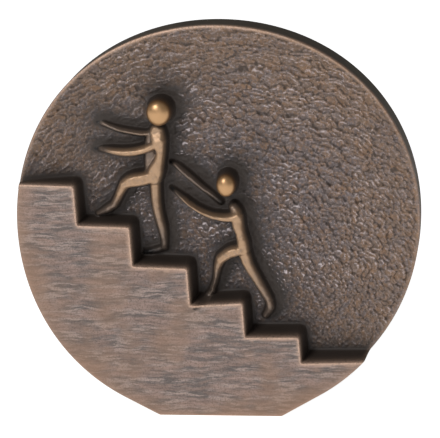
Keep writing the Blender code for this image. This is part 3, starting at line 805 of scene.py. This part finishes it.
def bronze(colours):
    """Patinated bronze: dark in the hollows, with painted shade there and round the figures, painted glints
    and shade on the hammer marks, rubbed bright on edges, limbs and heads.
    """
    material = bpy.data.materials.new("patinated_bronze")
    material.use_nodes = True
    material.node_tree.nodes.clear()
    sheet = Sheet(material.node_tree)

    def mask(name):
        return sheet.node("ShaderNodeAttribute",
                          {"attribute_type": "GEOMETRY", "attribute_name": name}, {})["Fac"]

    def noise(vector, scale, detail=2.0, rough=0.5):
        made = sheet.node("ShaderNodeTexNoise", {},
                          {"Vector": vector, "Scale": scale, "Detail": detail, "Roughness": rough})
        return made["Fac"]

    place = sheet.node("ShaderNodeTexCoord", {}, {})["Object"]
    mm = sheet.node("ShaderNodeVectorMath", {"operation": "SCALE"}, {0: place, "Scale": 1000.0})[0]

    def stretched(x, z, wave):
        bent = sheet.node("ShaderNodeCombineXYZ", {}, {"X": 0.0, "Y": 0.0, "Z": wave * 2.2})[0]
        moved = sheet.node("ShaderNodeVectorMath", {"operation": "ADD"}, {0: mm, 1: bent})[0]
        return sheet.node("ShaderNodeMapping", {}, {"Vector": moved, "Scale": (x, 0.5, z)})[0]

    wave = noise(mm, 0.12, 1.0)
    brush = noise(stretched(0.12, 1.0, wave), 1.3, 4.0, 0.7)
    bands = noise(stretched(0.2, 1.0, wave), 0.38, 3.0, 0.6)
    patch = noise(mm, 0.06, 3.0, 0.55)
    grain = noise(mm, 2.2, 2.0, 0.7)
    fleck = noise(mm, 0.9, 3.0, 0.65)
    warmth = noise(stretched(0.9, 0.6, patch), 1.1, 3.0, 0.7)
    small = noise(mm, 1.3, 3.0, 0.7)

    plate, figure, lift, ball, crown = (mask(name) for name in ("plate", "figure", "lift", "ball", "crown"))
    dark_patina_and_shade, edge, outward, side = (mask(name) for name in ("dark_patina_and_shade", "edge", "outward", "side"))
    mark, chip, hammered, patina_and_shade_halo = (mask(name) for name in ("mark", "chip", "hammered", "patina_and_shade_halo"))

    # the plate: cool and rosy bands with brush lines
    face = sheet.mix(bands.between(0.4, 0.6), colours.plate_blue, colours.plate_light)
    face = sheet.mix(brush.between(0.58, 0.36) * 0.5, face, colours.plate_dark)
    face = sheet.mix((brush - bands).between(0.03, 0.15) * 0.45, face, colours.plate_pale)
    face = sheet.mix(grain.between(0.46, 0.68) * 0.55, face, colours.plate_dark)
    face = sheet.mix(outward.between(0.88, 1.03) * 0.6, face, colours.plate_warm)
    face = sheet.mix(patch.between(0.45, 0.65) * 0.4, face, colours.plate_warm)
    # the ground: brown towards the rim, its scales cool or warm, with painted glints on their ridges and
    # painted shade beyond them, and painted shade over dark patina by the figures and the stair
    brown = outward.between(0.3, 1.0) * 0.75 + patch.between(0.4, 0.65) * 0.25
    floor = sheet.mix(brown, colours.ground_middle, colours.ground_brown)
    floor = sheet.mix(grain.between(0.5, 0.75) * 0.4, floor, colours.plate_dark)
    cool = chip.between(0.5, 1.0) * 0.35 + fleck.between(0.56, 0.36) * 0.3
    floor = sheet.mix(cool, floor, colours.ground_cool)
    warm = chip.between(0.5, 0.0) * 0.25 + warmth.between(0.46, 0.62) * 0.5
    floor = sheet.mix(warm, floor, colours.ground_warm)
    floor = sheet.mix(small.between(0.5, 0.3) * 0.4, floor, colours.dark_patina_and_shade)
    # small painted glints scattered over the ground
    floor = sheet.mix(small.between(0.52, 0.7) * 0.25, floor, colours.ground_glint)
    # painted shade just beyond the ridges of the hammer marks
    floor = sheet.mix(mark.between(0.44, 0.16) * hammered * 0.75, floor, colours.dark_patina_and_shade)
    # painted shade over dark patina close round the figures and the stair
    floor = sheet.mix(patina_and_shade_halo, floor, colours.ground_shade_and_patina)
    # painted glints on the hammer marks' ridges, in patches, fewer towards the rim
    bright = fleck.between(0.38, 0.6) * (0.25 + 0.7 * patch.between(0.42, 0.6)) * hammered
    bright = bright * (1 - 0.45 * outward.between(0.35, 0.85))
    floor = sheet.mix(mark.between(0.55, 0.95) * bright, floor, colours.ground_glint)
    # the two together, with the limbs, the heads, the rubbed edges and the dull side over them
    base = sheet.mix(plate, floor, face)
    # dark patina and painted shade on the stair's wall, along its foot and at the figures' roots
    base = sheet.mix(dark_patina_and_shade * (1 - plate), base, colours.dark_patina_and_shade)
    limb = sheet.mix(lift.between(0.42, 0.68), colours.limb_low, colours.limb)
    # the lowest limbs take the ground's colour of painted shade over dark patina
    limb = sheet.mix(lift.between(0.34, 0.16), limb, colours.ground_shade_and_patina)
    limb = sheet.mix(fleck.between(0.5, 0.7) * 0.35, limb, colours.plate_blue)
    base = sheet.mix(figure, base, limb)
    # the heads darken towards their edges: patina and painted shade
    base = sheet.mix(ball, base, sheet.mix(crown.between(0.0, 0.3), colours.head_edge_patina_and_shade, colours.head))
    base = sheet.mix(edge * grain.between(0.2, 0.6) * 0.85, base, colours.rubbed)
    stain = fleck.between(0.4, 0.65) * 0.25 + patch.between(0.4, 0.65) * 0.25
    worn = sheet.mix(stain, colours.side, colours.dark_patina_and_shade)
    base = sheet.mix(side, base, worn)

    rough = 0.52 - 0.14 * figure - 0.26 * ball + 0.1 * dark_patina_and_shade + 0.35 * side + (grain - 0.5) * 0.2
    metal = 0.45 + 0.25 * figure + 0.5 * ball - 0.4 * side - 0.3 * dark_patina_and_shade * (1 - figure)
    height = (brush * 0.8 + bands * 1.2) * plate + grain * (0.25 + 0.5 * hammered) + small * hammered * 1.1
    bump = sheet.node("ShaderNodeBump", {},
                      {"Strength": 0.4, "Distance": 0.00015, "Height": height})["Normal"]
    shader = sheet.node("ShaderNodeBsdfPrincipled", {},
                        {"Base Color": base, "Metallic": metal.clamped(), "Roughness": rough.clamped(),
                         "Normal": bump})
    sheet.node("ShaderNodeOutputMaterial", {}, {"Surface": shader["BSDF"]})
    return material


def tint(red, green, blue):
    """A picture's 0 to 255 colour as the linear one that a socket takes."""
    shares = (red / 255, green / 255, blue / 255)
    return tuple(v / 12.92 if v <= 0.04045 else ((v + 0.055) / 1.055) ** 2.4 for v in shares) + (1.0,)


def length(name, description, value, most, least=0.0):
    """A length in millimetres to set in the panel."""
    return bpy.props.FloatProperty(name=name, description=description, default=value, min=least, max=most)


def colour(name, description, *value):
    """A colour to set in the panel; its value is given from 0 to 255."""
    return bpy.props.FloatVectorProperty(name=name, description=description, default=tint(*value), size=4,
                                         subtype="COLOR", min=0.0, max=1.0)


class PlaqueMarks(bpy.types.PropertyGroup):
    """Sizes of the hammer marks in the ground"""

    size: length("Mark size", "Distance between hammer marks, in millimetres", MARK_SIZE, 6.0, 0.5)
    depth: length("Mark depth", "How deep a mark is, in millimetres", MARK_DEPTH, 1.0)
    lean: length("Lean", "How much a mark's outer side stands up, in millimetres", MARK_LEAN, 1.5)
    uneven: length("Unevenness", "How uneven the modelled limbs are, in millimetres", LIMB_UNEVEN, 2.0)
    seed: bpy.props.IntProperty(name="Seed", description="Which scatter of marks", default=MARK_SEED,
                                min=0, max=99)


class PlaqueColours(bpy.types.PropertyGroup):
    """Colours of the bronze and its patina"""

    plate_light: colour("Plate, light", "Rosy bands on the plate", 142, 121, 112)
    plate_pale: colour("Plate, pale", "Thin pale lines on the plate", 186, 162, 150)
    plate_dark: colour("Plate, dark", "Between the streaks", 78, 67, 61)
    plate_blue: colour("Plate, cool", "Cool bands on the plate", 105, 99, 97)
    plate_warm: colour("Plate, brown", "Brown near the plate's outline", 140, 110, 88)
    # painted shade over dark patina for the ground round the figures and the stair
    ground_shade_and_patina: colour("Ground, near", "The ground close round the figures and the stair", 34, 32, 32)
    ground_middle: colour("Ground, middle", "The ground in the middle", 93, 84, 83)
    ground_brown: colour("Ground, rim", "The ground towards the rim", 116, 96, 80)
    ground_cool: colour("Ground, cool", "Cool scales in the ground", 96, 90, 94)
    ground_warm: colour("Ground, warm", "Warm scales in the ground", 132, 100, 72)
    # painted glints on the ridges of the hammer marks and in small specks
    ground_glint: colour("Ground, ridges", "Ridges of the hammer marks", 212, 200, 202)
    # dark patina, also used for painted shade along the roots and just beyond the hammer marks' ridges
    dark_patina_and_shade: colour("Hollows", "Dark patina in hollows and along roots", 46, 37, 31)
    limb: colour("Limbs", "Rubbed limbs", 166, 136, 108)
    limb_low: colour("Limbs, low", "Limbs that lie lower", 118, 103, 92)
    head: colour("Heads", "Rubbed heads", 176, 138, 98)
    # patina and painted shade at the heads' edges
    head_edge_patina_and_shade: colour("Heads, low", "Patina at the heads' sides", 108, 80, 54)
    rubbed: colour("Edges", "Edges rubbed bright", 214, 180, 156)
    side: colour("Side", "The side wall and the back", 84, 75, 64)


class PLAQUE_OT_casting(bpy.types.Operator):
    """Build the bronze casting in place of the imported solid"""

    bl_idname = "plaque.casting"
    bl_label = "Casting"

    def execute(self, context):
        marks, colours = context.scene.plaque_marks, context.scene.plaque_colours
        rough = bpy.data.objects.new("rough_casting", casting())
        context.collection.objects.link(rough)
        tree, inputs = hammer_tree()
        modifier = rough.modifiers.new("Hammer marks", "NODES")
        modifier.node_group = tree
        for name, value in (("Mark size", marks.size), ("Mark depth", marks.depth), ("Lean", marks.lean),
                            ("Unevenness", marks.uneven), ("Seed", marks.seed), ("Metal", bronze(colours))):
            modifier[inputs[name]] = value
        graph = context.evaluated_depsgraph_get()
        graph.update()
        mesh = bpy.data.meshes.new_from_object(rough.evaluated_get(graph), depsgraph=graph,
                                               preserve_all_data_layers=True)
        rough.modifiers.clear()
        if not mesh.polygons:
            raise RuntimeError("the casting came out empty")
        bpy.data.objects.remove(rough)
        mesh.name = "bronze_casting"
        piece = bpy.data.objects.new("bronze_casting", mesh)
        context.collection.objects.link(piece)
        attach(piece, "root")
        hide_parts(NODE)
        return {"FINISHED"}


class PLAQUE_OT_stage(bpy.types.Operator):
    """Build the floor, the light and the camera"""

    bl_idname = "plaque.stage"
    bl_label = "Stage"

    def execute(self, context):
        mesh = bpy.data.meshes.new("floor")
        corners = [(x * FLOOR_REACH, y * FLOOR_REACH, 0) for x, y in ((-1, -1), (1, -1), (1, 1), (-1, 1))]
        mesh.from_pydata(corners, [], [(0, 1, 2, 3)])
        floor = bpy.data.objects.new("floor", mesh)
        context.collection.objects.link(floor)
        pale = bpy.data.materials.new("pale_floor")
        pale.use_nodes = True
        shader = pale.node_tree.nodes["Principled BSDF"]
        shader.inputs["Base Color"].default_value = (FLOOR_GREY, FLOOR_GREY, FLOOR_GREY, 1)
        shader.inputs["Roughness"].default_value = 0.8
        shader.inputs["Specular IOR Level"].default_value = 0.1
        shader.inputs["Emission Color"].default_value = (1, 1, 1, 1)
        shader.inputs["Emission Strength"].default_value = FLOOR_GLOW
        mesh.materials.append(pale)

        for name, spot, size, power in LIGHTS:
            light = bpy.data.lights.new(name, "AREA")
            light.size, light.energy = size, power
            lamp = bpy.data.objects.new(name, light)
            lamp.location = spot
            lamp.rotation_euler = (Vector(spot) - Vector(LIGHTS_AIM)).to_track_quat("Z", "Y").to_euler()
            context.collection.objects.link(lamp)
        world = bpy.data.worlds.new("studio")
        world.use_nodes = True
        sky = world.node_tree.nodes["Background"]
        sky.inputs["Color"].default_value = (1, 1, 1, 1)
        sky.inputs["Strength"].default_value = WORLD_STRENGTH
        context.scene.world = world

        # The camera stands a little to the right and above, as the photograph's did
        side, lift, roll = (math.radians(a) for a in (CAMERA_SIDE, CAMERA_LIFT, CAMERA_ROLL))
        back = Vector((math.sin(side) * math.cos(lift), -math.cos(side) * math.cos(lift), math.sin(lift)))
        right = Vector((math.cos(side), math.sin(side), 0))
        up = back.cross(right)
        level = right * math.cos(roll) + up * math.sin(roll)
        upright = up * math.cos(roll) - right * math.sin(roll)
        eye = Vector((CAMERA_AIM[0], HIGH[1] / 1000, CAMERA_AIM[1])) + back * CAMERA_AWAY
        camera = bpy.data.cameras.new("camera")
        camera.lens = CAMERA_SENSOR * PIXELS_PER_MM * (CAMERA_AWAY * 1000) / PHOTO_WIDE
        camera.sensor_width = CAMERA_SENSOR
        camera.shift_y = -1.0 / PHOTO_WIDE
        camera.clip_start, camera.clip_end = 0.01, 50
        viewer = bpy.data.objects.new("camera", camera)
        viewer.matrix_world = Matrix.Translation(eye) @ Matrix((level, upright, back)).transposed().to_4x4()
        context.collection.objects.link(viewer)
        context.scene.camera = viewer
        context.scene.view_settings.view_transform = "Standard"
        return {"FINISHED"}


class PLAQUE_PT_panel(bpy.types.Panel):
    """Sizes, colours and the two builders in the sidebar"""

    bl_label = "Relief plaque"
    bl_idname = "PLAQUE_PT_panel"
    bl_space_type = "VIEW_3D"
    bl_region_type = "UI"
    bl_category = "Plaque"

    def draw(self, context):
        layout = self.layout
        for group in (context.scene.plaque_marks, context.scene.plaque_colours):
            for name in group.__annotations__:
                layout.prop(group, name)
        layout.operator("plaque.casting")
        layout.operator("plaque.stage")


CLASSES = (PlaqueMarks, PlaqueColours, PLAQUE_OT_casting, PLAQUE_OT_stage, PLAQUE_PT_panel)


def register():
    for cls in CLASSES:
        bpy.utils.register_class(cls)
    bpy.types.Scene.plaque_marks = bpy.props.PointerProperty(type=PlaqueMarks)
    bpy.types.Scene.plaque_colours = bpy.props.PointerProperty(type=PlaqueColours)


def unregister():
    del bpy.types.Scene.plaque_colours
    del bpy.types.Scene.plaque_marks
    for cls in reversed(CLASSES):
        bpy.utils.unregister_class(cls)


def main():
    """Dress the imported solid."""
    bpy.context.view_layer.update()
    register()
    bpy.ops.plaque.casting()
    bpy.ops.plaque.stage()
    bpy.context.view_layer.update()


if __name__ == "__main__":
    main()
